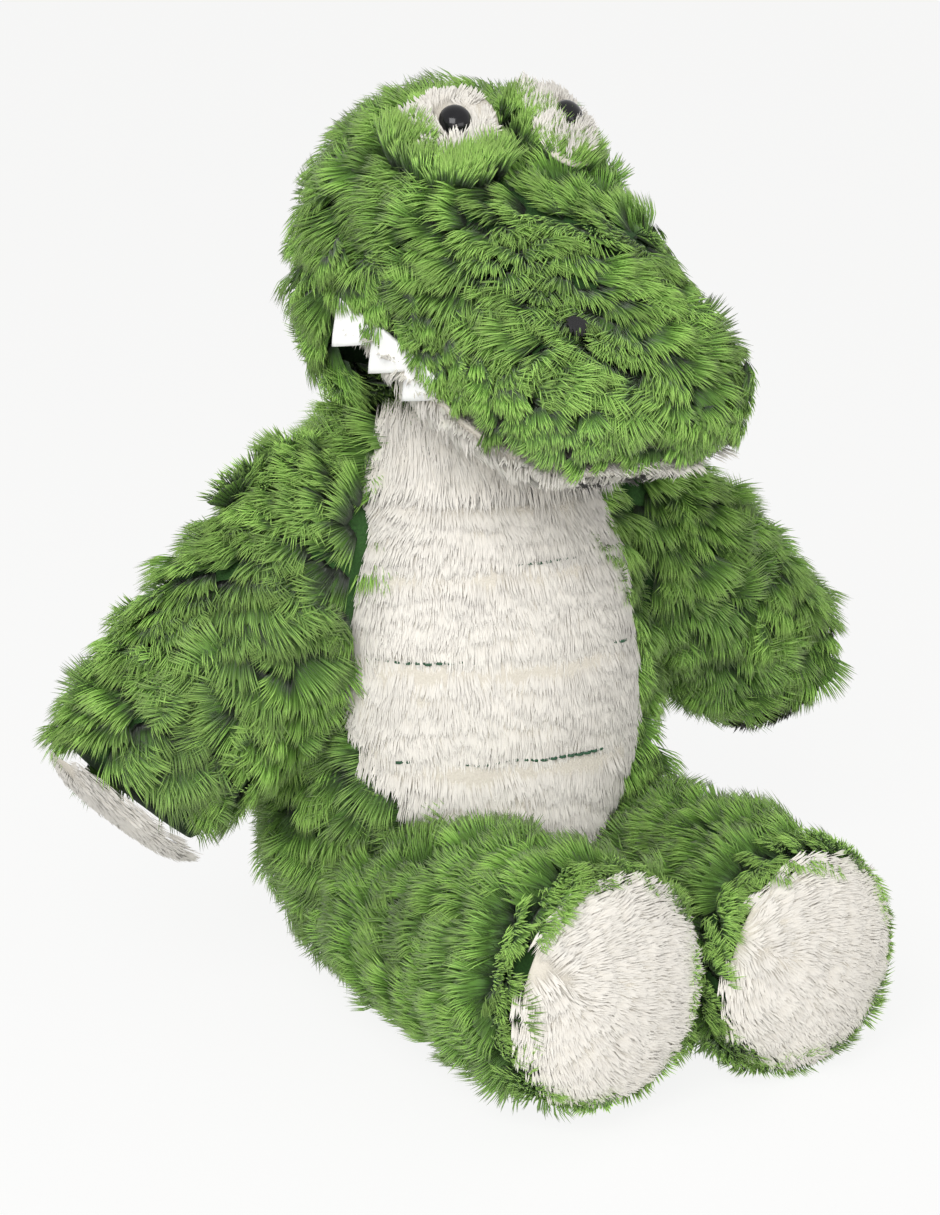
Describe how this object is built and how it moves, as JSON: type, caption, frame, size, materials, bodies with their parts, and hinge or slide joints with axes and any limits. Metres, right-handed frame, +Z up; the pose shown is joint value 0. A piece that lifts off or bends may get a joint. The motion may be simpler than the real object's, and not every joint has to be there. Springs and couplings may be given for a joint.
{
  "type": "plush crocodile",
  "caption": "Seated long-pile plush crocodile with a quilted pale belly, felt teeth, and a head, jaw, arms, legs and tail that turn.",
  "frame": {"origin": "on the floor, in the flat seat under the torso, below the middle of the torso", "axes": "+Z up, -Y towards the snout and the feet, +X towards the toy's left arm"},
  "size_m": [0.2835, 0.2457, 0.2766],
  "materials": {
    "green pile": "long shaggy pile",
    "cream pile": "short straight pile",
    "white felt": "flat felt",
    "black plastic": "polished",
    "washer plastic": "plain moulded",
    "dark thread": "twisted sewing thread",
    "black thread": "satin stitch"
  },
  "bodies": {
    "torso": {"torso": "green pile", "belly_panel": "cream pile", "quilting_thread_1": "dark thread", "quilting_thread_2": "dark thread", "quilting_thread_3": "dark thread", "quilting_thread_4": "dark thread"},
    "neck": {"neck": "green pile"},
    "head": {"head": "green pile", "teeth_right": "white felt", "teeth_left": "white felt", "eye_patch_right": "cream pile", "eye_patch_left": "cream pile", "eye_right": "black plastic", "eye_left": "black plastic", "eye_washer_right": "washer plastic", "eye_washer_left": "washer plastic", "nostril_right": "black thread", "nostril_left": "black thread"},
    "jaw": {"lower_jaw": "cream pile"},
    "right arm": {"arm_right": "green pile", "palm_right": "cream pile"},
    "left arm": {"arm_left": "green pile", "palm_left": "cream pile"},
    "right leg": {"leg_right": "green pile", "sole_right": "cream pile"},
    "left leg": {"leg_left": "green pile", "sole_left": "cream pile"},
    "tail": {"tail": "green pile"}
  },
  "joints": [
    {"name": "neck_turn", "type": "hinge", "parent": "torso", "child": "neck", "pos_m": [0, 0.01485, 0.18401], "axis": [0, 0, 1], "range_deg": [-35, 35]},
    {"name": "head_nod", "type": "hinge", "parent": "neck", "child": "head", "pos_m": [0, 0.01485, 0.18401], "axis": [1, 0, 0], "range_deg": [-25, 5]},
    {"name": "jaw_open", "type": "hinge", "parent": "head", "child": "jaw", "pos_m": [0, -0.01776, 0.21546], "axis": [1, 0, 0], "range_deg": [0, 12]},
    {"name": "shoulder_right", "type": "hinge", "parent": "torso", "child": "right arm", "pos_m": [-0.0495, 0, 0.143], "axis": [-0.9659, 0, 0.2588], "range_deg": [-40, 60]},
    {"name": "shoulder_left", "type": "hinge", "parent": "torso", "child": "left arm", "pos_m": [0.0495, 0, 0.143], "axis": [-0.9659, 0, -0.2588], "range_deg": [-40, 60]},
    {"name": "hip_right", "type": "hinge", "parent": "torso", "child": "right leg", "pos_m": [-0.03493, -0.02826, 0.0358], "axis": [0.9979, 0.0645, 0], "range_deg": [-5, 45]},
    {"name": "hip_left", "type": "hinge", "parent": "torso", "child": "left leg", "pos_m": [0.03493, -0.02374, 0.0358], "axis": [0.9979, 0.0645, 0], "range_deg": [-5, 45]},
    {"name": "tail_wag", "type": "hinge", "parent": "torso", "child": "tail", "pos_m": [0, 0.044, 0.03], "axis": [0, 0, 1], "range_deg": [-25, 25]}
  ]
}
